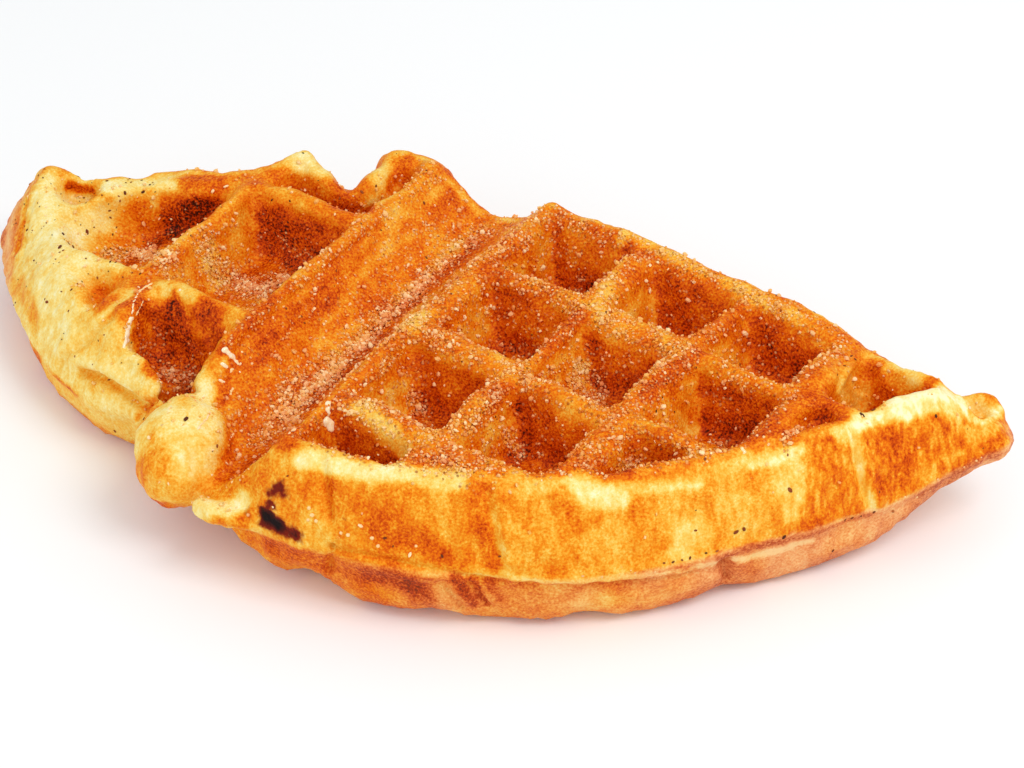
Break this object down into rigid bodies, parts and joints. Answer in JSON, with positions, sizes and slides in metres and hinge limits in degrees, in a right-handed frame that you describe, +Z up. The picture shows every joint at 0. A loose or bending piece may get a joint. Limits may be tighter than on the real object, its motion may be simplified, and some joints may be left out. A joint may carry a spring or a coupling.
{
  "type": "croffle",
  "caption": "Croissant dough pressed in a waffle iron: a crescent pastry with square pockets on both faces, a divider groove and a pale rim.",
  "frame": {"origin": "centre of the bounding box's base, on the table", "axes": "+X along the croffle's length towards its pointed right tip, +Z up from the table, the side shown facing -Y"},
  "size_m": [0.1626, 0.0964, 0.026],
  "materials": {
    "crust": "golden baked pastry, satin, sugared"
  },
  "bodies": {
    "root": {"croffle": "crust"}
  },
  "joints": []
}
